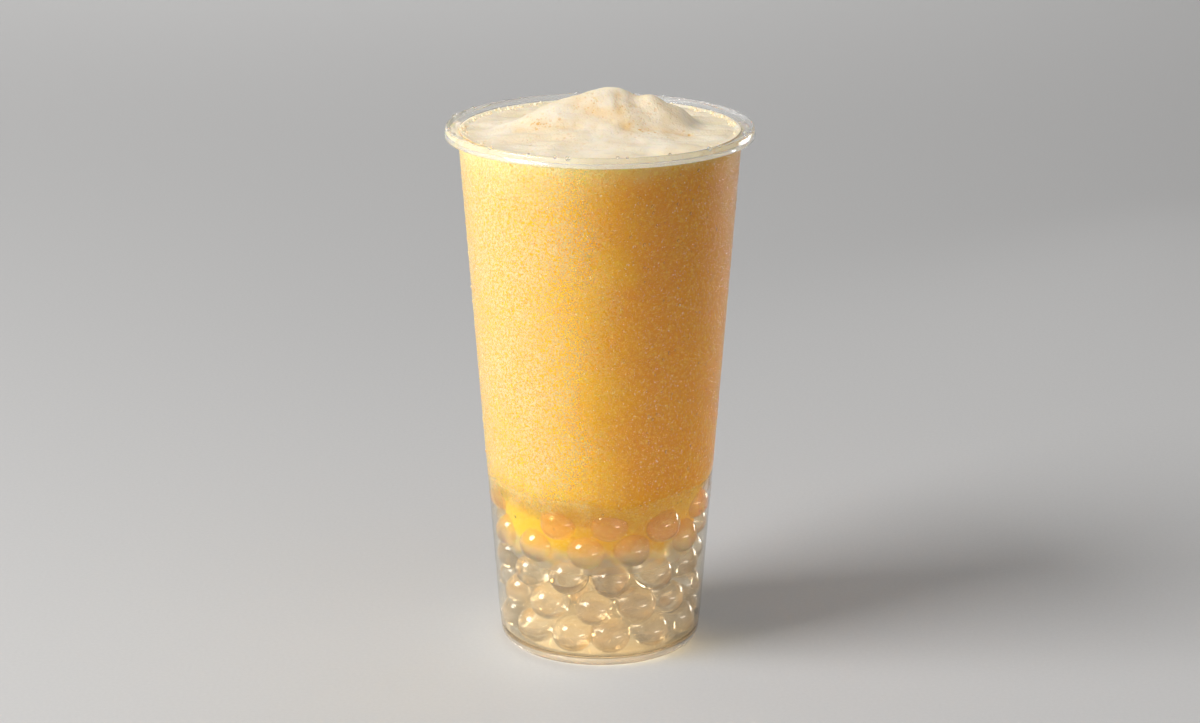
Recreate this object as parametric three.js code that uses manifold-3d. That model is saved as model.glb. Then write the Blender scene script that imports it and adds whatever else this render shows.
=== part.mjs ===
// Bubble tea in a clear plastic tumbler: iced mango drink over a bed of
// translucent pearls, with a cream-coloured foam cap heaped above the rim.
// Millimetres, +Z up, origin on the table under the middle of the cup, front towards -Y.
import * as THREE from "three";
import { mergeVertices } from "three/addons/utils/BufferGeometryUtils.js";
import Module from "manifold-3d";

const wasm = await Module();
wasm.setup();

// Driving dimensions of the cup
const RIM_RADIUS = 47.5; // outside of the rim, which takes a 95 mm lid
const CUP_HEIGHT = 166;
const WALL_FOOT_RADIUS = 31.6; // outside of the wall, carried straight down to the table
const WALL_HEAD_RADIUS = 43.3; // outside of the wall where it meets the rim
const WALL = 0.7;
const FLOOR_TOP = 2.7; // inside floor above the table
const FLOOR_THICKNESS = 1;
const FOOT_ROUND = 3.4; // radius of the corner between wall and foot
const FOOT_WIDTH = 3.2; // flat ring that the cup stands on
const RIM_DEPTH = 3; // from the rim's top to the lower edge of its skirt
const BEAD_RADIUS = 0.7; // rounding along the rim's outer edge
const BEAD_INSET = 0.4; // the bead stands this far inside the skirt
const SKIRT_THICKNESS = 0.8;
const FLANGE_DROP = 0.8; // flat of the rim below the top of its bead
const FLANGE_THICKNESS = 0.9;
const NECK_HEIGHT = 1.6; // flare that joins the wall to the flat of the rim
const NECK_WIDTH = 0.7;
const EDGE_BEVEL = 0.5; // on the inner edge of the rim
const SKIRT_BEVEL = 0.3; // between the bead, the skirt and the flat of the rim
const SECTORS = 64; // sides of the cup and of what fills it
const CORE_SECTORS = 16; // sides of the pearl bed's hidden core
const PEARL_SIDES = 9; // sides of a pearl seen from above
const PEARL_BANDS = 5; // bands of a pearl from bottom to top
const POCKET_SIDES = 12; // sides of the hollow that a pearl leaves in the drink
const FLAT_RINGS = 2; // rings of triangles on the plain faces of the drink and foam
const FOAM_RINGS = 10; // rings of triangles on the heaped top of the foam

// Driving dimensions of the pearls
const PEARL_DIAMETER = 12.3;
const PEARL_FLATTENING = 0.93; // height over width, as they sag under their weight
const PEARL_VARIATION = 0.05; // share by which diameters differ
const EVEN_ROWS = 3; // staggered rows at the bottom of the bed
const PEARLS_PER_ROW = 12;
const ROW_PITCH = 9.6;
const ROW_TURN = 9; // degrees from the front to the first pearl
const ROW_SWING = 4; // degrees that pearls stray along their row
const ROW_LIFT = 1; // millimetres that pearls stray above and below their row
const UNEVEN_ROW = [-43, -9, 20, 62, 96, 128, 160, 190, 222, 254, 285]; // degrees from the front
const TOP_ROW_GAPS = [5, 7, 10]; // places on the uneven row with no pearl on top
const BED_DEPTH = 9.5; // from the cup's wall in to the core of the pearl bed
const BED_TOP = 45; // top of that core
const BED_LIFT = 1; // height of that core over the lowest pearls' undersides

// Driving dimensions of the drink and its foam
const DRINK_LOW = 41.5; // how far the drink runs down between the top pearls
const FOAM_LEVEL = 164.4; // foam at the wall
const FOAM_BOTTOM = 157.6; // underside of the foam at the cup's middle
const FOAM_TILT = 3.4; // the underside is this much lower at the left than in the middle
const FOAM_LOBES = [
  // x, y, half width along x, half width along y, height of each heap of foam
  { x: 5, y: 4, wide: 12, deep: 16, high: 8.6 },
  { x: -14, y: 1, wide: 17, deep: 17, high: 5.6 },
  { x: 22, y: 3, wide: 8.5, deep: 11, high: 5.2 },
  { x: -2, y: -12, wide: 22, deep: 13, high: 2.6 },
];
const FOAM_FADE = 0.7; // share of the radius from which the heaps run out towards the wall
const GAP = 0.35; // clearance between pieces that touch

const wallSlope = (WALL_HEAD_RADIUS - WALL_FOOT_RADIUS) / (CUP_HEIGHT - RIM_DEPTH);
const outerRadius = (z) => WALL_FOOT_RADIUS + wallSlope * z;
const innerRadius = (z) => outerRadius(z) - WALL;
const fillRadius = (z) => innerRadius(z) - GAP;

// A repeatable random draw from 0 to 1
let draw = 20;
function random() {
  draw = (draw * 16807) % 2147483647;
  return draw / 2147483647;
}

// Keeps only positions, with shared corners merged and empty triangles dropped.
function weld(geometry) {
  const bare = new THREE.BufferGeometry();
  bare.setAttribute("position", geometry.getAttribute("position").clone());
  bare.setIndex(geometry.index);
  const merged = mergeVertices(bare, 1e-3);
  const corners = merged.index.array;
  const kept = [];
  for (let i = 0; i < corners.length; i += 3) {
    const [a, b, c] = corners.slice(i, i + 3);
    if (a !== b && b !== c && c !== a) kept.push(a, b, c);
  }
  merged.setIndex(kept);
  return merged;
}

function toSolid(geometry) {
  const welded = weld(geometry);
  const vertProperties = new Float32Array(welded.getAttribute("position").array);
  const triVerts = new Uint32Array(welded.index.array);
  return new wasm.Manifold(new wasm.Mesh({ numProp: 3, vertProperties, triVerts }));
}

function toGeometry(solid) {
  const { vertProperties, triVerts } = solid.getMesh();
  const geometry = new THREE.BufferGeometry();
  geometry.setAttribute("position", new THREE.BufferAttribute(vertProperties, 3));
  geometry.setIndex(new THREE.BufferAttribute(triVerts, 1));
  return geometry;
}

// The largest of the bodies that a cut leaves
function largest(solid) {
  const bodies = solid.decompose();
  return bodies.reduce((a, b) => (b.volume() > a.volume() ? b : a));
}

function unite(solids) {
  return solids.reduce((all, next) => all.add(next));
}

// A solid of revolution about Z from [radius, height] pairs
function revolve(profile, sides = SECTORS) {
  const points = profile.map(([r, z]) => new THREE.Vector2(r, z));
  return weld(new THREE.LatheGeometry(points, sides).rotateX(Math.PI / 2));
}

// Points of an arc in a profile, from one angle to another, in degrees
function arc(r, z, radius, from, to, steps) {
  const points = [];
  for (let i = 0; i <= steps; i++) {
    const a = THREE.MathUtils.degToRad(from + ((to - from) * i) / steps);
    points.push([r + radius * Math.cos(a), z + radius * Math.sin(a)]);
  }
  return points;
}

// A body that fills the cup between two height functions of (x, y)
function fillBetween(lower, upper, lowerRings, upperRings) {
  const positions = [];
  const triangles = [];
  const addPoint = (x, y, z) => positions.push(x, y, z) / 3 - 1;
  const around = (i) => (2 * Math.PI * i) / SECTORS;

  // One face of the body: a fan round its middle, then bands of triangles out to the wall
  function face(height, rings, facesUp) {
    const addTriangle = (a, b, c) => triangles.push(...(facesUp ? [a, b, c] : [a, c, b]));
    const middle = addPoint(0, 0, height(0, 0));
    let inner = null;
    for (let ring = 1; ring <= rings; ring++) {
      const share = ring / rings;
      const current = [];
      for (let i = 0; i < SECTORS; i++) {
        const across = Math.sin(around(i));
        const along = -Math.cos(around(i));
        const edge = fillRadius(height(across * WALL_HEAD_RADIUS, along * WALL_HEAD_RADIUS));
        const x = across * edge * share;
        const y = along * edge * share;
        current.push(addPoint(x, y, height(x, y)));
      }
      for (let i = 0; i < SECTORS; i++) {
        const next = (i + 1) % SECTORS;
        if (!inner) {
          addTriangle(middle, current[i], current[next]);
        } else {
          addTriangle(inner[i], current[i], current[next]);
          addTriangle(inner[i], current[next], inner[next]);
        }
      }
      inner = current;
    }
    return inner;
  }

  const low = face(lower, lowerRings, false);
  const high = face(upper, upperRings, true);
  for (let i = 0; i < SECTORS; i++) {
    const next = (i + 1) % SECTORS;
    triangles.push(low[i], low[next], high[next], low[i], high[next], high[i]);
  }
  const geometry = new THREE.BufferGeometry();
  geometry.setAttribute("position", new THREE.Float32BufferAttribute(positions, 3));
  geometry.setIndex(triangles);
  return geometry;
}

// The tumbler: ringed foot, tapered wall, and a flat rim with a beaded edge and a short skirt
function cupGeometry() {
  const footOuter = WALL_FOOT_RADIUS - FOOT_ROUND;
  const footInner = footOuter - FOOT_WIDTH;
  const recess = FLOOR_TOP - FLOOR_THICKNESS;
  const insideRound = FOOT_ROUND - WALL;
  const roundMiddle = FLOOR_TOP + insideRound;
  const skirtLow = CUP_HEIGHT - RIM_DEPTH;
  const flangeTop = CUP_HEIGHT - FLANGE_DROP;
  const flangeLow = flangeTop - FLANGE_THICKNESS;
  const wallTop = flangeLow - NECK_HEIGHT - SKIRT_BEVEL;
  const skirtOuter = RIM_RADIUS - BEAD_INSET / 4;
  const beadMiddle = RIM_RADIUS - BEAD_INSET - BEAD_RADIUS;
  return revolve([
    [0, recess],
    [footInner - recess, recess],
    [footInner, 0],
    ...arc(footOuter, FOOT_ROUND, FOOT_ROUND, -90, 0, 4),
    [outerRadius(wallTop), wallTop],
    [outerRadius(wallTop) + NECK_WIDTH, wallTop + NECK_HEIGHT],
    [beadMiddle - SKIRT_BEVEL, flangeLow],
    [skirtOuter - SKIRT_THICKNESS, skirtLow],
    [skirtOuter, skirtLow],
    [RIM_RADIUS, skirtLow + SKIRT_BEVEL],
    ...arc(beadMiddle, CUP_HEIGHT - BEAD_RADIUS, BEAD_RADIUS, 0, 150, 4),
    [beadMiddle - BEAD_RADIUS - SKIRT_BEVEL, flangeTop],
    [innerRadius(flangeTop) + EDGE_BEVEL, flangeTop],
    [innerRadius(flangeTop), flangeTop - EDGE_BEVEL],
    ...arc(innerRadius(roundMiddle) - insideRound, roundMiddle, insideRound, 0, -90, 3),
    [0, FLOOR_TOP],
  ]);
}

// Pearls against the wall: even staggered rows, an uneven row, and pearls resting on that one
function pearlPlaces() {
  const places = [];
  const turn = 360 / PEARLS_PER_ROW;
  const lowest = FLOOR_TOP + GAP + (PEARL_FLATTENING * PEARL_DIAMETER) / 2;

  function place(degrees, z) {
    const radius = (PEARL_DIAMETER / 2) * (1 + PEARL_VARIATION * (2 * random() - 1));
    const angle = THREE.MathUtils.degToRad(degrees);
    const out = fillRadius(z - radius / 3) - radius;
    places.push({ x: out * Math.sin(angle), y: -out * Math.cos(angle), z, radius, angle });
  }

  for (let row = 0; row < EVEN_ROWS; row++) {
    for (let k = 0; k < PEARLS_PER_ROW; k++) {
      const swing = ROW_SWING * (random() - 0.5);
      const lift = row === 0 ? 0 : ROW_LIFT * (random() - 0.5);
      place(ROW_TURN + turn * (k + (row % 2) / 2) + swing, lowest + ROW_PITCH * row + lift);
    }
  }
  const unevenHeight = lowest + ROW_PITCH * EVEN_ROWS;
  UNEVEN_ROW.forEach((degrees) => place(degrees, unevenHeight + ROW_LIFT * (random() - 0.5)));

  // A top pearl is at the height where it touches the two that it lies between.
  UNEVEN_ROW.forEach((degrees, i) => {
    if (TOP_ROW_GAPS.includes(i)) return;
    const next = i + 1 < UNEVEN_ROW.length ? UNEVEN_ROW[i + 1] : UNEVEN_ROW[0] + 360;
    const half = THREE.MathUtils.degToRad((next - degrees) / 2);
    const sideways = (fillRadius(unevenHeight) - PEARL_DIAMETER / 2) * Math.sin(half);
    const rise = PEARL_FLATTENING * Math.sqrt(Math.max(0, PEARL_DIAMETER ** 2 - sideways ** 2));
    place((degrees + next) / 2, unevenHeight + rise);
  });
  return places;
}

function pearlSolid({ x, y, z, radius }) {
  const ball = new THREE.SphereGeometry(radius, PEARL_SIDES, PEARL_BANDS).rotateX(Math.PI / 2);
  return toSolid(ball.scale(1, 1, PEARL_FLATTENING).translate(x, y, z));
}

// The hollow that a pearl leaves in the drink: round behind it and open in front to the wall
function pearlPocket({ x, y, z, radius, angle }) {
  const room = (radius + GAP) / Math.cos(Math.PI / POCKET_SIDES);
  const profile = [[0, -2 * radius], [room, -2 * radius], ...arc(0, 0, room, 0, 90, 3)];
  const pocket = revolve(profile, POCKET_SIDES).rotateX(-Math.PI / 2).scale(1, 1, PEARL_FLATTENING);
  return toSolid(pocket.rotateZ(angle).translate(x, y, z));
}

const coreRadius = (z) => innerRadius(z) - BED_DEPTH;

// The heart of the pearl bed, which stands for the pearls that can't be seen
function bedCore(clearance = 0) {
  const low = FLOOR_TOP + GAP + BED_LIFT;
  const high = BED_TOP + clearance;
  const profile = [
    [0, low],
    [coreRadius(low) + clearance, low],
    [coreRadius(high) + clearance, high],
    [0, high],
  ];
  return toSolid(revolve(profile, CORE_SECTORS));
}

// Height of the foam over its level at the wall
function foamHeap(x, y) {
  const heap = FOAM_LOBES.reduce((sum, lobe) => {
    const u = (x - lobe.x) / lobe.wide;
    const v = (y - lobe.y) / lobe.deep;
    return sum + lobe.high * Math.exp(-(u * u + v * v));
  }, 0);
  const toWall = Math.hypot(x, y) / fillRadius(FOAM_LEVEL);
  return heap * (1 - THREE.MathUtils.smoothstep(toWall, FOAM_FADE, 1));
}
const foamTop = (x, y) => FOAM_LEVEL + foamHeap(x, y);
const foamUnderside = (x) => FOAM_BOTTOM + (FOAM_TILT * x) / WALL_HEAD_RADIUS;

function slushGeometry(pearls) {
  const body = toSolid(fillBetween(() => DRINK_LOW, (x) => foamUnderside(x) - GAP, 1, FLAT_RINGS));
  const reached = pearls.filter((pearl) => pearl.z + pearl.radius > DRINK_LOW);
  return toGeometry(largest(body.subtract(unite([bedCore(GAP), ...reached.map(pearlPocket)]))));
}

function foamGeometry() {
  return weld(fillBetween(foamUnderside, foamTop, FLAT_RINGS, FOAM_RINGS));
}

function bedGeometry(pearls) {
  const balls = pearls.map((pearl) => pearlSolid(pearl));
  return toGeometry(largest(unite([bedCore(), ...balls])));
}

function material(color, roughness, opacity = 1) {
  const transparent = opacity < 1;
  return new THREE.MeshStandardMaterial({ color, roughness, metalness: 0, opacity, transparent });
}

const pearls = pearlPlaces();
const bubbleTea = new THREE.Group();
function addPiece(name, geometry, finish) {
  const mesh = new THREE.Mesh(geometry, finish);
  mesh.name = name;
  bubbleTea.add(mesh);
}
addPiece("cup", cupGeometry(), material(0xf2f2ee, 0.12, 0.3));
addPiece("pearl_bed", bedGeometry(pearls), material(0xd9c19a, 0.15, 0.75));
addPiece("mango_slush", slushGeometry(pearls), material(0xe3a733, 0.5));
addPiece("foam_cap", foamGeometry(), material(0xf5e4c4, 0.7));

export default bubbleTea;
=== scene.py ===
# Bubble tea in a clear tumbler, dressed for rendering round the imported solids.
import math

import bpy
import numpy as np
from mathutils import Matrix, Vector, noise


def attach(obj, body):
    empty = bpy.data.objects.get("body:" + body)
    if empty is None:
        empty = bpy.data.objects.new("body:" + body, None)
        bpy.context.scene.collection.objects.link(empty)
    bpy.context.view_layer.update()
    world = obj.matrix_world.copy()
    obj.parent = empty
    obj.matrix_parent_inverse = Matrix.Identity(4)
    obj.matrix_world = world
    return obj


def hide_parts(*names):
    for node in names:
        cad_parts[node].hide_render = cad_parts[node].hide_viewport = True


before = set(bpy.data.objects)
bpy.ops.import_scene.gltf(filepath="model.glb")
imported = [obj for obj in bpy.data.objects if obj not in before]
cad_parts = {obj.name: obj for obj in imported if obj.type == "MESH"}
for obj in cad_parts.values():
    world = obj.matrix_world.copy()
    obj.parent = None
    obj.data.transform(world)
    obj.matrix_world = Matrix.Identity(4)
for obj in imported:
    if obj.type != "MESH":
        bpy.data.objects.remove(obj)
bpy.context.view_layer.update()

# Sizes of the cup in millimetres, the same as in the part's source
RIM_RADIUS = 47.5
CUP_HEIGHT = 166
WALL_FOOT_RADIUS = 31.6
WALL_HEAD_RADIUS = 43.3
WALL = 0.7
FLOOR_TOP = 2.7
FLOOR_THICKNESS = 1
FOOT_ROUND = 3.4
FOOT_WIDTH = 3.2
RIM_DEPTH = 3
BEAD_RADIUS = 0.7
BEAD_INSET = 0.4
SKIRT_THICKNESS = 0.8
FLANGE_DROP = 0.8
FLANGE_THICKNESS = 0.9
NECK_HEIGHT = 1.6
NECK_WIDTH = 0.7
EDGE_BEVEL = 0.5
SKIRT_BEVEL = 0.3

# Sizes of the contents in millimetres and degrees, the same as in the part's source
PEARL_DIAMETER = 12.3
PEARL_FLATTENING = 0.93
PEARL_VARIATION = 0.05
EVEN_ROWS = 3
PEARLS_PER_ROW = 12
ROW_PITCH = 9.6
ROW_TURN = 9
ROW_SWING = 4
ROW_LIFT = 1
UNEVEN_ROW = [-43, -9, 20, 62, 96, 128, 160, 190, 222, 254, 285]
TOP_ROW_GAPS = [5, 7, 10]
FOAM_LEVEL = 164.4
FOAM_BOTTOM = 157.6
FOAM_TILT = 3.4
GAP = 0.35

# Sizes in millimetres of what only the looks need
MM = 0.001
SECTORS = 256  # sides of the smooth round pieces
WALL_STEPS = 30  # rings of points up each side of the cup's wall
OUTSIDE_FROM = 8  # lowest of those rings outside
INSIDE_FROM = 10  # lowest of those rings inside
INSIDE_DROP = 2  # highest of those rings inside, below the flat of the rim
NECK_DROP = 1  # the flare under the rim begins this far below the skirt
NECK_CURVE = (0.2, 0.9)  # a point halfway along that flare, out and up from its foot
SKIRT_LIP = 0.1  # rounding along the lower edge of the rim's skirt
INTO_WALL = 0.25  # how far the contents reach into the cup's wall, so that no air shows
SYRUP_INTO_WALL = 0.12
SYRUP_INTO_FLOOR = 0.2
SYRUP_TOP = 66
SLUSH_SIDES = 300
SLUSH_LOW = 30
SLUSH_DRAWN_IN = 4.8  # how far the drink stands behind the wall where the top pearls are
DRAWN_FROM = 57  # height where the drink begins to leave the wall
DRAWN_TO = 45  # height where it is fully behind the pearls
SLUSH_UNDER_FOAM = 1.6  # top of the drink below the foam's level
FOAM_SIDES = 360
FOAM_RINGS = 120  # rings of points over the heaped top of the foam
BUBBLES = 300
DROPS = 2300
DROP_HEIGHTS = (46, 160)
RIM_DROPS = 24

# Pearls that only the looks have, and how all of them are shaped
PEARL_SIDES = 36
PEARL_BANDS = 22
PEARL_LUMPS = 0.012  # share of the radius by which a pearl is uneven
PEARL_PRESS = 0.5  # how far the drink presses the top pearls against the wall
PRESSED_FROM = 34
PRESSED_TO = 42
WALL_CLEARANCE = 0.1  # from a pearl to the wall
FLOOR_CLEARANCE = 0.08  # from a pearl to the floor
GLOW_SIDE = (0.62, 0.42, -0.66)  # the side of a pearl, away from the key lamp, where the light it would gather is painted on as a golden, milkier patch
INNER_RING = 12.9  # from the axis to the ring of inner pearls
INNER_PER_ROW = 6
INNER_LOWEST = 6.2  # middle of the lowest inner pearls above the floor
INNER_SWING = 6  # degrees that they stray along their row
INNER_LIFT = 0.6  # millimetres that they stray above and below it
INNER_SIZES = (0.95, 1.02)  # their diameters, as shares of a pearl's

# Heights in metres between which one look of a material fades into the next
FROST_FADE = (0.046, 0.064)  # pale frost on the cup
MIST_FADE = (0.052, 0.066)  # fine mist on the cup
RIM_FADE = (0.1615, 0.1635)  # the bare and hazier rim
FOOT_FADE = (0.002, 0.005)  # haze in the cup's foot
SOAK_FADE = (0.032, 0.046)  # pearls soaked with drink
BEHIND_FADE = (0.045, 0.055)  # duller drink behind the pearls
THIN_FADE = (0.036, 0.047)  # drink that thins out into the syrup
SYRUP_FADE = (0.003, 0.009)  # stronger syrup at the bottom

# Sideways places in metres between which the left, painted paler with frost where the key lamp lights it,
# runs into the right, painted deeper orange as shade
SLANT = 0.3  # how far the side painted paler as if lit is turned to the front, towards the key lamp
PAINTED_LIT_FROST_SIDE = (-0.051, 0.003)
PAINTED_SHADE_SIDE = (-0.026, 0.009)

# The camera, in millimetres and degrees
CAMERA_TARGET = 90.3
CAMERA_DISTANCE = 900
CAMERA_ELEVATION = 17.1
CAMERA_LENS = 86.4

LIGHT_BOUNCES = 24  # enough for light to cross the cup, the syrup and several pearls
FLOOR_HALF = 4.0  # half the floor's width in metres

wall_slope = (WALL_HEAD_RADIUS - WALL_FOOT_RADIUS) / (CUP_HEIGHT - RIM_DEPTH)
random = np.random.default_rng(7)


def outer_radius(z):
    return WALL_FOOT_RADIUS + wall_slope * z


def inner_radius(z):
    return outer_radius(z) - WALL


def smoothstep(value, low, high):
    t = np.clip((value - low) / (high - low), 0, 1)
    return t * t * (3 - 2 * t)


# Mesh helpers: angles start at the front, -Y, and turn towards +X
def all_round(sides):
    return np.linspace(0, 2 * math.pi, sides, endpoint=False)


TURNS = all_round(SECTORS)


def ring(radius, height, turns=TURNS):
    """Points round the axis; radius and height may change from point to point."""
    radius = np.broadcast_to(radius, turns.shape)
    height = np.broadcast_to(height, turns.shape)
    return np.stack([radius * np.sin(turns), -radius * np.cos(turns), height], axis=1)


def skin(rings, low_pole, high_pole):
    """A closed surface over rings of points, listed from its lower pole outwards and up to its upper pole."""
    count = len(rings[0])
    points = np.concatenate([[low_pole], *rings, [high_pole]])
    here = np.arange(count)
    after = (here + 1) % count
    faces = np.stack([np.zeros_like(here), 1 + after, 1 + here], axis=1).tolist()
    for i in range(len(rings) - 1):
        a = 1 + i * count
        b = a + count
        faces += np.stack([a + here, a + after, b + after, b + here], axis=1).tolist()
    last = 1 + (len(rings) - 1) * count
    top = np.full_like(here, len(points) - 1)
    faces += np.stack([last + here, last + after, top], axis=1).tolist()
    return points, faces


def add_piece(name, points, faces, material, replaces=None, sharp=None):
    """A smooth mesh from points in millimetres, riding on the part's one body."""
    mesh = bpy.data.meshes.new(name)
    mesh.from_pydata((np.asarray(points) * MM).tolist(), [], faces)
    mesh.polygons.foreach_set("use_smooth", [True] * len(mesh.polygons))
    if sharp:
        mesh.set_sharp_from_angle(angle=math.radians(sharp))
    mesh.materials.append(material)
    mesh.update()
    piece = bpy.data.objects.new(name, mesh)
    bpy.context.scene.collection.objects.link(piece)
    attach(piece, "root")
    if replaces:
        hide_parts(replaces)
    return piece


def arc(r, z, radius, start, end, steps):
    angles = np.radians(np.linspace(start, end, steps + 1))
    return [(r + radius * math.cos(a), z + radius * math.sin(a)) for a in angles]


def ball(sides, bands):
    """A unit sphere as points and faces."""
    heights = -np.cos(np.pi * np.arange(1, bands) / bands)
    turns = all_round(sides)
    rings = [ring(math.sqrt(1 - h * h), h, turns) for h in heights]
    return skin(rings, (0, 0, -1), (0, 0, 1))


def copies(shape, placed):
    """Many placed copies of one shape, joined into one list of points and faces."""
    points, faces = shape
    all_points = np.concatenate([place(points) for place in placed])
    all_faces = [[i + n * len(points) for i in face] for n in range(len(placed)) for face in faces]
    return all_points, all_faces


def point_values(piece, name, values):
    """A number for each point of a piece, which its material reads."""
    piece.data.attributes.new(name, "FLOAT", "POINT").data.foreach_set("value", values)


# Material helpers
def linear(red, green, blue):
    """A colour in the usual 0 to 255 values, as the shader's linear ones."""
    shares = np.array([red, green, blue]) / 255
    return (*np.where(shares <= 0.04045, shares / 12.92, ((shares + 0.055) / 1.055) ** 2.4), 1)


class Look:
    """One material, with short ways to add nodes to it and join them."""

    def __init__(self, name, **settings):
        self.material = bpy.data.materials.new(name)
        self.material.use_nodes = True
        self.tree = self.material.node_tree
        self.shader = self.tree.nodes["Principled BSDF"]
        self.output = self.tree.nodes["Material Output"]
        self.place = self.add("ShaderNodeTexCoord").outputs["Object"]
        axes = self.add("ShaderNodeSeparateXYZ", {0: self.place})
        self.x, self.y, self.z = axes.outputs
        # a sideways axis from the key lamp's side, painted paler, to the side painted as shade
        self.across = self.math("ADD", self.x, self.math("MULTIPLY", self.y, SLANT))
        self.set(**settings)

    def add(self, kind, inputs=(), **settings):
        made = self.tree.nodes.new(kind)
        for name, value in settings.items():
            setattr(made, name, value)
        for key, value in dict(inputs).items():
            self.join(value, made.inputs[key])
        return made

    def join(self, value, socket):
        if isinstance(value, bpy.types.NodeSocket):
            self.tree.links.new(value, socket)
        else:
            socket.default_value = value

    def set(self, **inputs):
        for name, value in inputs.items():
            self.join(value, self.shader.inputs[name.replace("_", " ")])

    def math(self, operation, a, b=0.0):
        return self.add("ShaderNodeMath", {0: a, 1: b}, operation=operation).outputs[0]

    def step(self, value, low, high, start=0.0, end=1.0):
        inputs = {"Value": value, "From Min": low, "From Max": high, "To Min": start, "To Max": end}
        return self.add("ShaderNodeMapRange", inputs, interpolation_type="SMOOTHSTEP").outputs[0]

    def noise(self, size_mm, detail=2.0, distortion=0.0):
        inputs = {"Vector": self.place, "Scale": 1 / (size_mm * MM)}
        inputs.update({"Detail": detail, "Distortion": distortion})
        return self.add("ShaderNodeTexNoise", inputs).outputs["Fac"]

    def stray(self, value, size_mm, reach):
        """A place that strays to both sides, by up to half its reach in metres."""
        centred = self.math("SUBTRACT", self.noise(size_mm, 3), 0.5)
        return self.math("ADD", value, self.math("MULTIPLY", centred, reach))

    def cells(self, size_mm):
        """Distance to the middle of the nearest of many cells."""
        inputs = {"Vector": self.place, "Scale": 1 / (size_mm * MM)}
        return self.add("ShaderNodeTexVoronoi", inputs).outputs["Distance"]

    def attribute(self, name):
        return self.add("ShaderNodeAttribute", attribute_name=name).outputs["Fac"]

    def mix(self, share, a, b):
        made = self.add("ShaderNodeMix", data_type="RGBA")
        self.join(share, made.inputs[0])
        self.join(a, made.inputs[6])
        self.join(b, made.inputs[7])
        return made.outputs[2]

    def bump(self, height, depth_mm, strength=1.0):
        inputs = {"Height": height, "Distance": depth_mm * MM, "Strength": strength}
        self.set(Normal=self.add("ShaderNodeBump", inputs).outputs[0])

    def let_light_through(self, tint):
        """Lamps shine through the surface, tinted, instead of casting a solid shadow behind it."""
        shadow = self.add("ShaderNodeLightPath").outputs["Is Shadow Ray"]
        clear = self.add("ShaderNodeBsdfTransparent", {"Color": tint})
        mixed = self.add("ShaderNodeMixShader", {0: shadow, 1: self.shader.outputs[0], 2: clear.outputs[0]})
        self.tree.links.new(mixed.outputs[0], self.output.inputs["Surface"])
        return self


# The clear plastic: glossy, hazy along the rim, and frosted and misted over the cold drink, the frost painted
# thick on the left where the key lamp lights it, as painted light
def cup_look():
    look = Look("clear_plastic", IOR=1.47)
    cold = look.stray(look.z, 7, 0.02)
    under_rim = look.step(look.z, *RIM_FADE, 1.0, 0.0)
    misted = look.math("MULTIPLY", look.step(cold, *MIST_FADE), under_rim)
    look.set(Roughness=look.step(misted, 0.0, 1.0, 0.05, 0.25))
    grain = look.noise(0.7, 2.0, 0.6)
    specks = look.step(look.noise(0.6, 1.0, 1.2), 0.38, 0.56)
    # Painted light: the frost lies thick on the left, where the key lamp lights it, and thin on the shaded
    # right
    side = look.step(look.stray(look.across, 20, 0.03), *PAINTED_LIT_FROST_SIDE, 0.95, 0.03)
    frosty = look.math("MULTIPLY", look.step(cold, *FROST_FADE), under_rim)
    frost_and_painted_light = look.math("MULTIPLY", look.math("MULTIPLY", specks, side), frosty)
    bare, frosted = (0.97, 0.97, 0.96, 1), linear(255, 240, 184)
    look.set(Base_Color=look.mix(look.step(frost_and_painted_light, 0.0, 0.06), bare, frosted))
    clear = look.step(look.z, *RIM_FADE, 1.0, 0.88)
    foot_haze = look.step(look.z, *FOOT_FADE, 0.2, 0.0)
    look.set(Transmission_Weight=look.math("SUBTRACT", clear, look.math("ADD", frost_and_painted_light, foot_haze)))
    look.bump(look.math("MULTIPLY", grain, misted), 0.3)
    return look.let_light_through((0.98, 0.98, 0.97, 1)).material


def golden_pits(look):
    """Burst bubbles of different sizes, in patches."""
    fine = look.step(look.cells(1.1), 0.18, 0.3, 1.0, 0.0)
    coarse = look.step(look.cells(2.3), 0.16, 0.26, 1.0, 0.0)
    patch = look.step(look.noise(8, 2), 0.45, 0.6)
    return look.math("MULTIPLY", look.math("MAXIMUM", fine, coarse), patch)


PIT_BY_WALL = linear(232, 160, 16)  # pits in the foam, as seen through the wall
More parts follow.
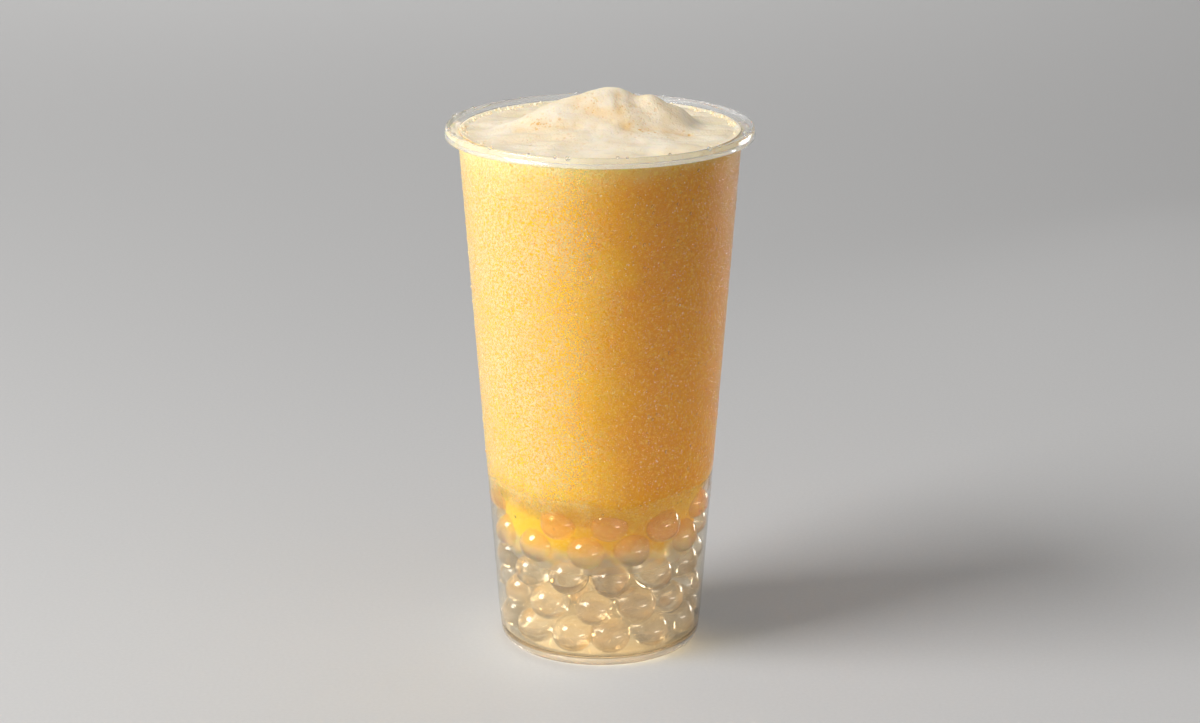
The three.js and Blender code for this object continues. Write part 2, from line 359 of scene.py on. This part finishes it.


# The iced drink: grainy, with paler crystals, painted glints, darker hollows painted as shade, deeper orange
# painted as shade on its right, and a foamy, pitted top edge
def slush_look():
    look = Look("mango_ice", Roughness=0.45, Specular_IOR_Level=0.0)
    look.set(Subsurface_Weight=0.6, Subsurface_Scale=0.018, Subsurface_Radius=(1.0, 0.34, 0.05))
    deep, middle, pale = linear(231, 162, 2), linear(241, 200, 20), linear(250, 216, 84)
    # Painted shade: the drink turns deeper orange towards the right, away from the key lamp
    colour = look.mix(look.step(look.stray(look.across, 24, 0.04), *PAINTED_SHADE_SIDE), middle, deep)
    grain = look.step(look.noise(0.8, 2, 1.2), 0.5, 0.7)
    colour = look.mix(look.math("MULTIPLY", grain, 0.7), colour, pale)
    # Painted shade: darker spots at random, standing for shade in the hollows between grains
    painted_hollow_shade = look.step(look.noise(1.2, 2, 1.5), 0.28, 0.42, 0.6, 0.0)
    colour = look.mix(painted_hollow_shade, colour, linear(216, 144, 2))
    # Painted highlights: tiny near-white glints
    painted_glint = look.step(look.noise(0.5, 1, 0.5), 0.68, 0.74)
    colour = look.mix(painted_glint, colour, linear(255, 246, 216))

    # Patches of coarser crystals
    patch = look.step(look.noise(15, 2), 0.5, 0.62)
    crystal = look.step(look.cells(1.7), 0.16, 0.34, 0.4, 0.0)
    colour = look.mix(look.math("MULTIPLY", patch, crystal), colour, linear(228, 150, 2))
    behind_pearls = look.step(look.z, *BEHIND_FADE, 0.35, 0.0)
    colour = look.mix(behind_pearls, colour, linear(226, 176, 70))

    # The top edge, lower at the left, where foam is soaked with drink
    tilt = look.math("MULTIPLY", look.x, -2 * FOAM_TILT / WALL_HEAD_RADIUS)
    rise = look.stray(look.math("ADD", look.z, tilt), 6, 0.012)
    foamy = look.step(rise, FOAM_BOTTOM * MM - 0.006, FOAM_LEVEL * MM + 0.004)
    colour = look.mix(foamy, colour, linear(254, 220, 146))
    pitted = look.step(foamy, 0.04, 0.25)
    colour = look.mix(look.math("MULTIPLY", pitted, golden_pits(look)), colour, PIT_BY_WALL)

    # The bottom edge, which thins out into the syrup
    low = look.math("ADD", look.z, look.math("MULTIPLY", look.noise(8, 3), 0.012))
    thin = look.step(low, *THIN_FADE, 1.0, 0.0)
    colour = look.mix(look.step(thin, 0.0, 0.7), colour, linear(255, 224, 168))
    colour = look.mix(look.step(thin, 0.7, 1.0), colour, (1, 1, 1, 1))
    look.set(Base_Color=colour, Transmission_Weight=thin, IOR=1.01)
    look.bump(look.noise(0.9, 2, 1.0), 0.15, 0.4)
    return look.let_light_through(thin).material


# The foam: cream-coloured, golden in its creases and pits, the creases also darkened as painted shade, and
# soaked with drink by the wall
def foam_look():
    look = Look("cream_foam", Roughness=0.6, Specular_IOR_Level=0.2)
    look.set(Subsurface_Weight=0.5, Subsurface_Scale=0.005, Subsurface_Radius=(1.0, 0.75, 0.4))
    crease = look.attribute("crease")
    pits = golden_pits(look)
    cream, dim_cream = linear(247, 232, 208), linear(243, 224, 192)
    colour = look.mix(look.step(look.noise(12, 4), 0.35, 0.65), cream, dim_cream)
    blotch = look.step(look.noise(5, 3), 0.3, 0.62)
    # Creases: golden where drink soaks in, and darker as painted shade
    colour = look.mix(look.math("MULTIPLY", crease, blotch), colour, linear(238, 200, 136))
    crease_gold_and_shade = look.math("MULTIPLY", pits, look.step(crease, 0.0, 0.5, 0.25, 0.8))
    colour = look.mix(crease_gold_and_shade, colour, linear(226, 172, 84))
    rise = look.math("ADD", look.z, look.math("MULTIPLY", look.noise(4, 3), 0.004))
    level = FOAM_LEVEL * MM
    by_wall = look.step(rise, level - 0.0005, level + 0.0022, 1.0, 0.0)
    colour = look.mix(by_wall, colour, linear(250, 230, 184))
    colour = look.mix(look.math("MULTIPLY", by_wall, pits), colour, PIT_BY_WALL)
    look.set(Base_Color=colour)
    bubbles = look.step(look.cells(0.9), 0.0, 0.5)
    lumps = look.math("ADD", bubbles, look.noise(1.6, 3, 0.5))
    look.bump(look.math("SUBTRACT", lumps, pits), 0.14, 0.6)
    return look.material


def froth_look():
    look = Look("froth", Roughness=0.15, IOR=1.3, Transmission_Weight=0.3)
    white, cream = linear(255, 248, 228), linear(252, 236, 200)
    look.set(Base_Color=look.mix(look.step(look.noise(3, 2), 0.4, 0.6), white, cream))
    return look.let_light_through((0.97, 0.95, 0.9, 1)).material


def pearl_look(name, milky, coat):
    """Clear jelly with a share of milky body, and amber where drink soaks the top pearls."""
    look = Look(name, Roughness=0.0, IOR=1.22)
    # Painted light: a golden, milkier patch on each pearl's side away from the key lamp stands for the lamp
    # light the pearl would focus there
    painted_caustic = look.math("MULTIPLY", look.attribute("glow"), look.step(look.noise(3, 3), 0.4, 0.6, 0.3, 1.0))
    soaked = look.step(look.z, *SOAK_FADE)
    colour = look.mix(soaked, linear(253, 244, 226), linear(255, 211, 84))
    look.set(Base_Color=look.mix(painted_caustic, colour, linear(252, 204, 120)))
    clear = look.step(soaked, 0.0, 1.0, 1 - milky, 0.8)
    look.set(Transmission_Weight=look.math("SUBTRACT", clear, look.math("MULTIPLY", painted_caustic, 0.25)))
    look.set(Coat_Weight=coat, Coat_Roughness=0.02, Coat_IOR=1.75)
    look.set(Sheen_Weight=0.4 * coat, Sheen_Roughness=0.2, Sheen_Tint=linear(255, 244, 214))
    return look.let_light_through((0.97, 0.945, 0.89, 1)).material


def syrup_look():
    look = Look("clear_syrup", Roughness=0.0, IOR=1.02, Transmission_Weight=1.0)
    strong, weak = linear(246, 218, 168), linear(254, 250, 240)
    look.set(Base_Color=look.mix(look.step(look.z, *SYRUP_FADE), strong, weak))
    return look.let_light_through((0.98, 0.97, 0.94, 1)).material


def drop_look():
    look = Look("condensation", Base_Color=(1, 1, 1, 1), Roughness=0.02, IOR=1.33, Transmission_Weight=1.0)
    return look.let_light_through((1, 1, 1, 1)).material


# The tumbler
def cup_piece():
    foot_outer = WALL_FOOT_RADIUS - FOOT_ROUND
    foot_inner = foot_outer - FOOT_WIDTH
    recess = FLOOR_TOP - FLOOR_THICKNESS
    corner = FOOT_ROUND - WALL
    corner_top = FLOOR_TOP + corner
    wall_top = CUP_HEIGHT - RIM_DEPTH - NECK_DROP
    neck = outer_radius(wall_top)
    bead = RIM_RADIUS - BEAD_INSET - BEAD_RADIUS
    flange = CUP_HEIGHT - FLANGE_DROP
    skirt = CUP_HEIGHT - RIM_DEPTH
    mouth = inner_radius(flange)
    profile = [
        (foot_inner * 0.5, recess),
        (foot_inner - recess, recess),
        (foot_inner, 0),
        *arc(foot_outer, FOOT_ROUND, FOOT_ROUND, -90, 0, 10),
        *[(outer_radius(z), z) for z in np.linspace(OUTSIDE_FROM, wall_top, WALL_STEPS)],
        (neck + NECK_CURVE[0], wall_top + NECK_CURVE[1]),
        (neck + NECK_WIDTH, wall_top + NECK_HEIGHT),
        (bead - SKIRT_BEVEL, flange - FLANGE_THICKNESS),
        (RIM_RADIUS - SKIRT_THICKNESS - SKIRT_LIP, skirt),
        (RIM_RADIUS - SKIRT_THICKNESS / 2, skirt - SKIRT_LIP),
        (RIM_RADIUS - SKIRT_LIP, skirt),
        (RIM_RADIUS, skirt + SKIRT_BEVEL),
        *arc(bead, CUP_HEIGHT - BEAD_RADIUS, BEAD_RADIUS, 0, 150, 10),
        (bead - BEAD_RADIUS - SKIRT_BEVEL, flange),
        (mouth + EDGE_BEVEL, flange),
        (mouth + 0.3 * EDGE_BEVEL, flange - 0.3 * EDGE_BEVEL),
        (mouth, flange - EDGE_BEVEL),
        *[(inner_radius(z), z) for z in np.linspace(flange - INSIDE_DROP, INSIDE_FROM, WALL_STEPS)],
        *arc(inner_radius(corner_top) - corner, corner_top, corner, 0, -90, 8),
        (foot_inner * 0.5, FLOOR_TOP),
    ]
    rings = [ring(r, z) for r, z in profile]
    points, faces = skin(rings, (0, 0, recess), (0, 0, FLOOR_TOP))
    return add_piece("cup_shell", points, faces, cup_look(), "cup", sharp=40)


# Pearls: the places against the wall follow the part's source, and more fill the middle
DRAW_FACTOR = 16807
DRAW_MODULUS = 2147483647
draw = 20


def repeatable():
    """The next of the part's source's own random numbers, from 0 to 1."""
    global draw
    draw = (draw * DRAW_FACTOR) % DRAW_MODULUS
    return draw / DRAW_MODULUS


def pearl_places():
    places = []
    lowest = FLOOR_TOP + GAP + PEARL_FLATTENING * PEARL_DIAMETER / 2

    def place(degrees, z):
        radius = PEARL_DIAMETER / 2 * (1 + PEARL_VARIATION * (2 * repeatable() - 1))
        out = inner_radius(z - radius / 3) - GAP - radius
        angle = math.radians(degrees)
        places.append((out * math.sin(angle), -out * math.cos(angle), z, radius))

    for row in range(EVEN_ROWS):
        for k in range(PEARLS_PER_ROW):
            swing = ROW_SWING * (repeatable() - 0.5)
            lift = ROW_LIFT * (repeatable() - 0.5) if row else 0
            degrees = ROW_TURN + 360 / PEARLS_PER_ROW * (k + row % 2 / 2) + swing
            place(degrees, lowest + ROW_PITCH * row + lift)
    uneven_height = lowest + ROW_PITCH * EVEN_ROWS
    for degrees in UNEVEN_ROW:
        lift = ROW_LIFT * (repeatable() - 0.5)
        place(degrees, uneven_height + lift)
    following = UNEVEN_ROW[1:] + [UNEVEN_ROW[0] + 360]
    for i, (degrees, after) in enumerate(zip(UNEVEN_ROW, following)):
        if i in TOP_ROW_GAPS:
            continue
        half = math.radians((after - degrees) / 2)
        sideways = (inner_radius(uneven_height) - GAP - PEARL_DIAMETER / 2) * math.sin(half)
        rise = PEARL_FLATTENING * math.sqrt(max(0, PEARL_DIAMETER**2 - sideways**2))
        place((degrees + after) / 2, uneven_height + rise)
    return places


def inner_pearl_places():
    places = []
    for row in range(EVEN_ROWS + 1):
        z = FLOOR_TOP + INNER_LOWEST + ROW_PITCH * row
        for k in range(INNER_PER_ROW):
            swing = random.uniform(-INNER_SWING, INNER_SWING)
            angle = math.radians(360 / INNER_PER_ROW * (k + row % 2 / 2) + swing)
            radius = PEARL_DIAMETER / 2 * random.uniform(*INNER_SIZES)
            lift = random.uniform(-INNER_LIFT, INNER_LIFT) if row else 0
            places.append((INNER_RING * math.sin(angle), -INNER_RING * math.cos(angle), z + lift, radius))
        places.append((random.uniform(-0.5, 0.5), random.uniform(-0.5, 0.5), z + 0.4, PEARL_DIAMETER / 2))
    return places


def pearls_piece(name, places, material, replaces=None):
    def placer(x, y, z, radius):
        press = PEARL_PRESS * smoothstep(z, PRESSED_FROM, PRESSED_TO)
        pressed = 1 + press / max(math.hypot(x, y), PEARL_DIAMETER)
        middle = (x * pressed, y * pressed, z)
        lumps = random.normal(0, 1, (3, 3))
        phases = random.uniform(0, 6.28, 3)

        def place(unit):
            waves = sum(np.sin(1.6 * unit @ lump + phase) for lump, phase in zip(lumps, phases))
            uneven = 1 + PEARL_LUMPS * waves
            shaped = unit * uneven[:, None] * radius * (1, 1, PEARL_FLATTENING) + middle
            out = np.hypot(shaped[:, 0], shaped[:, 1])
            limit = inner_radius(shaped[:, 2]) - WALL_CLEARANCE
            shaped[:, :2] *= np.minimum(1, limit / np.maximum(out, 1e-6))[:, None]
            shaped[:, 2] = np.maximum(shaped[:, 2], FLOOR_TOP + FLOOR_CLEARANCE)
            return shaped

        return place

    shape = ball(PEARL_SIDES, PEARL_BANDS)
    points, faces = copies(shape, [placer(*pearl) for pearl in places])
    piece = add_piece(name, points, faces, material, replaces)
    # Painted light: marks the patch on the side away from the key lamp, where the pearls' focused lamp light
    # is painted
    towards = shape[0] @ np.array(GLOW_SIDE) / np.linalg.norm(GLOW_SIDE)
    point_values(piece, "glow", np.tile(smoothstep(towards, 0.8, 0.97), len(places)))
    return piece


# The clear syrup round the pearls, which ends inside the drink above it
def syrup_piece():
    low = FLOOR_TOP - SYRUP_INTO_FLOOR
    middle = 12  # radius of the flat rings at both ends
    corner = FOOT_ROUND - WALL
    corner_top = FLOOR_TOP + corner
    base = arc(inner_radius(corner_top) - corner, corner_top, corner + SYRUP_INTO_WALL, -90, 0, 8)
    side = [(inner_radius(z) + SYRUP_INTO_WALL, z) for z in np.linspace(OUTSIDE_FROM, SYRUP_TOP, 12)]
    profile = [(middle, low), *base, *side, (middle, SYRUP_TOP)]
    points, faces = skin([ring(r, z) for r, z in profile], (0, 0, low), (0, 0, SYRUP_TOP))
    return add_piece("syrup", points, faces, syrup_look(), sharp=40)


# The drink: against the wall, and drawn in behind the top pearls with an uneven edge
def slush_draw(turns, z):
    """How far the drink's side is behind the wall at a height."""
    uneven = np.sin(3 * turns + 1) + 0.7 * np.sin(7 * turns)
    return SLUSH_DRAWN_IN * smoothstep(z + uneven, DRAWN_FROM, DRAWN_TO)


def slush_piece():
    turns = all_round(SLUSH_SIDES)
    high = FOAM_LEVEL - SLUSH_UNDER_FOAM
    fine = np.linspace(SLUSH_LOW, SYRUP_TOP - 2, 68)
    coarse = np.linspace(SYRUP_TOP, high, 48)
    heights = np.concatenate([fine, coarse])
    side = [ring(inner_radius(z) + INTO_WALL - slush_draw(turns, z), z, turns) for z in heights]
    floor = [ring(r, SLUSH_LOW, turns) for r in (6, 12, 18)]
    top = [ring(r, high, turns) for r in (32, 20, 8)]
    points, faces = skin(floor + side + top, (0, 0, SLUSH_LOW), (0, 0, high))
    return add_piece("mango_ice", points, faces, slush_look(), "mango_slush", sharp=60)


# The foam cap: heaps that run into each other, parted by creases
FOAM_LOBES = [
    # x, y, half width along and across, turn in degrees, height, sharpness of the edge
    (5.9, 4, 11.5, 12, 0, 10.4, 1),
    (-12.3, -0.5, 13.6, 9.5, 14, 7.5, 1.1),
    (20.5, 6, 8, 11, 0, 5, 1.9),
    (0, -12, 26, 12, 0, 1.8, 1),
]
FOAM_CREASES = [
    # from x, y, to x, y, depth, half width
    (13, 6, 10, -2, 0.3, 2.5),
    (5.4, 0.5, 6.1, -6, 0.6, 1.8),
    (8, -11, 26.5, -9.5, 0.8, 2.2),
    (-6, -3, 3, -8, 0.5, 2.5),
    (-26, -9, -8, -12, 0.5, 2.5),
    (-24, 4, -12, 7, 0.8, 3.5),
]
FOAM_FOLDS = [
    # size along x, along y, height: long folds, short ones and small lumps
    (16, 6, 1.2),
    (6, 3, 0.4),
    (1.8, 1.4, 0.1),
]
FOAM_FADE = 0.7  # share of the radius from which the heaps run out towards the wall
MENISCUS = 0.5  # rise of the foam where it meets the wall


def foam_underside(x):
    return FOAM_BOTTOM + FOAM_TILT * x / WALL_HEAD_RADIUS


def crease_depth(x, y):
    depth = np.zeros_like(x)
    for x1, y1, x2, y2, deep, wide in FOAM_CREASES:
        length2 = (x2 - x1) ** 2 + (y2 - y1) ** 2
        along = np.clip(((x - x1) * (x2 - x1) + (y - y1) * (y2 - y1)) / length2, 0, 1)
        away2 = (x - x1 - along * (x2 - x1)) ** 2 + (y - y1 - along * (y2 - y1)) ** 2
        depth = depth + deep * np.exp(-away2 / wide**2)
    return depth


def foam_heap(x, y):
    heap = np.zeros_like(x)
    for cx, cy, wide, deep, turn, high, sharpness in FOAM_LOBES:
        c, s = math.cos(math.radians(turn)), math.sin(math.radians(turn))
        along = ((x - cx) * c + (y - cy) * s) / wide
        across = ((y - cy) * c - (x - cx) * s) / deep
        heap = heap + high * np.exp(-((along**2 + across**2) ** sharpness))
    to_wall = np.hypot(x, y) / inner_radius(FOAM_LEVEL)
    return (heap - crease_depth(x, y)) * smoothstep(to_wall, 1, FOAM_FADE)


def foam_lumps(x, y):
    """Soft unevenness of the foam."""
    return sum(
        high * np.array([noise.noise(Vector((a / along, b / across, along))) for a, b in zip(x, y)])
        for along, across, high in FOAM_FOLDS
    )


def foam_piece():
    turns = all_round(FOAM_SIDES)
    middle = 20  # radius of the one ring under the foam
    edge = foam_underside(np.sin(turns) * WALL_HEAD_RADIUS)
    rings = [ring(middle, foam_underside(np.sin(turns) * middle), turns)]
    for share in np.linspace(0, 1, 8):
        z = edge + (FOAM_LEVEL + 0.4 - edge) * share
        rings.append(ring(inner_radius(z) + INTO_WALL - 0.05, z, turns))
    for share in np.linspace(0.992, 0.01, FOAM_RINGS):
        flat = ring(share * inner_radius(FOAM_LEVEL), 0, turns)
        x, y = flat[:, 0], flat[:, 1]
        meniscus = MENISCUS * smoothstep(share, 0.95, 1)
        lumps = foam_lumps(x, y) * smoothstep(share, 1, 0.85)
        flat[:, 2] = FOAM_LEVEL + foam_heap(x, y) + lumps + meniscus
        rings.append(flat)
    top = FOAM_LEVEL + float(foam_heap(np.zeros(1), np.zeros(1))[0])
    points, faces = skin(rings, (0, 0, FOAM_BOTTOM), (0, 0, top))
    piece = add_piece("foam", points, faces, foam_look(), "foam_cap", sharp=60)
    x, y, z = points.T
    # Crease depth, where the foam is coloured golden and painted darker as shade
    crease_gold_and_shade = crease_depth(x, y) * smoothstep(z, FOAM_LEVEL - 1, FOAM_LEVEL)
    point_values(piece, "crease", np.clip(crease_gold_and_shade, 0, 1))
    return piece


def bead_at(angle, out, height, size):
    """Places a unit sphere as a round bead at an angle and a distance from the axis."""
    spot = np.array([out * math.sin(angle), -out * math.cos(angle), height])
    return lambda unit: spot + size * unit


# Froth where the foam meets the wall, most of it at the back
def froth_piece():
    placed = []
    for _ in range(BUBBLES):
        angle = math.radians(180 + random.choice([-55, 60]) + random.normal(0, 30))
        size = 0.2 + 0.45 * random.uniform() ** 3
        out = inner_radius(FOAM_LEVEL) - size * random.uniform(0.8, 1.2) - 2.2 * random.uniform() ** 3
        placed.append(bead_at(angle, out, FOAM_LEVEL + 0.3 * size, size))
    points, faces = copies(ball(12, 8), placed)
    return add_piece("froth", points, faces, froth_look())


def drop_on_wall(z, angle, size, stretch):
    """Places a unit sphere as a flat drop on the cup's wall, longer from top to bottom."""
    outward = np.array([math.sin(angle), -math.cos(angle), 0])
    sideways = np.array([math.cos(angle), math.sin(angle), 0])
    upward = np.array([0, 0, 1])
    middle = outer_radius(z) * outward + z * upward
    axes = np.array([0.6 * size * outward, size * sideways, size * stretch * upward])
    return lambda unit: middle + unit @ axes


# Fine drops on the outside of the cold part of the cup, and a few larger ones on its rim
def drops_piece():
    placed = []
    for _ in range(DROPS):
        z = random.uniform(*DROP_HEIGHTS)
        angle = random.uniform(0, 2 * math.pi)
        size = 0.13 + 0.34 * random.uniform() ** 5
        stretch = random.uniform(0.9, 1.5)
        placed.append(drop_on_wall(z, angle, size, stretch))
    for _ in range(RIM_DROPS):
        angle = random.uniform(0, 2 * math.pi)
        size = random.uniform(0.35, 0.8)
        out = RIM_RADIUS - random.uniform(0.4, 2.4)
        placed.append(bead_at(angle, out, CUP_HEIGHT - 0.15, size))
    points, faces = copies(ball(8, 6), placed)
    return add_piece("condensation", points, faces, drop_look())


# Floor, light and camera
def stage():
    mesh = bpy.data.meshes.new("floor")
    corners = [(x * FLOOR_HALF, y * FLOOR_HALF, 0) for x, y in ((-1, -1), (1, -1), (1, 1), (-1, 1))]
    mesh.from_pydata(corners, [], [(0, 1, 2, 3)])
    floor = bpy.data.objects.new("floor", mesh)
    look = Look("pale_floor", Roughness=0.7)
    look.set(Base_Color=look.mix(look.noise(1.2, 3), linear(198, 197, 196), linear(206, 205, 204)))
    mesh.materials.append(look.material)
    bpy.context.scene.collection.objects.link(floor)


def area_light(name, place, target, size, power, spread=180):
    """A lamp with its place, target and size in metres, its power in watts and its spread in degrees."""
    light = bpy.data.lights.new(name, "AREA")
    light.shape = "RECTANGLE"
    light.size, light.size_y = size
    light.energy = power
    light.spread = math.radians(spread)
    lamp = bpy.data.objects.new(name, light)
    lamp.location = place
    lamp.rotation_euler = (Vector(target) - Vector(place)).to_track_quat("-Z", "Y").to_euler()
    bpy.context.scene.collection.objects.link(lamp)


def light_and_camera():
    scene = bpy.context.scene
    middle = (0, 0, CAMERA_TARGET * MM)
    area_light("key", (-1.05, -0.42, 1.1), middle, (0.75, 0.75), 22)
    area_light("fill", (1.7, -1.6, 0.55), middle, (3.0, 2.4), 12.5)
    area_light("backdrop", (-0.7, 1.5, 1.3), (-0.7, 1.5, 0), (2.4, 0.8), 4.0, spread=80)
    area_light("back", (0.5, 0.5, 0.08), (0, 0, 0.03), (0.4, 0.1), 0.1, spread=40)
    area_light("low", (0.26, -0.24, 0.045), (0, 0, 0.02), (0.25, 0.05), 0.022, spread=50)
    world = bpy.data.worlds.new("studio")
    world.use_nodes = True
    background = world.node_tree.nodes["Background"]
    background.inputs["Color"].default_value = (0.8, 0.8, 0.8, 1)
    background.inputs["Strength"].default_value = 0.34
    scene.world = world
    scene.view_settings.view_transform = "Standard"

    camera = bpy.data.objects.new("camera", bpy.data.cameras.new("camera"))
    camera.data.sensor_fit = "HORIZONTAL"
    camera.data.sensor_width = 36
    camera.data.lens = CAMERA_LENS
    up = math.radians(CAMERA_ELEVATION)
    back = Vector((0, -math.cos(up), math.sin(up)))
    camera.location = Vector(middle) + back * CAMERA_DISTANCE * MM
    camera.rotation_euler = (-back).to_track_quat("-Z", "Y").to_euler()
    camera.data.clip_start = 0.01
    scene.collection.objects.link(camera)
    scene.camera = camera
    scene.cycles.max_bounces = LIGHT_BOUNCES
    scene.cycles.transmission_bounces = LIGHT_BOUNCES
    scene.cycles.transparent_max_bounces = LIGHT_BOUNCES
    scene.cycles.sample_clamp_indirect = 40


light_and_camera()
stage()
cup_piece()
pearls_piece("pearls", pearl_places(), pearl_look("pearl_jelly", 0.05, 1.0), "pearl_bed")
pearls_piece("inner_pearls", inner_pearl_places(), pearl_look("cloudy_pearl_jelly", 0.1, 0.0))
syrup_piece()
slush_piece()
foam_piece()
froth_piece()
drops_piece()
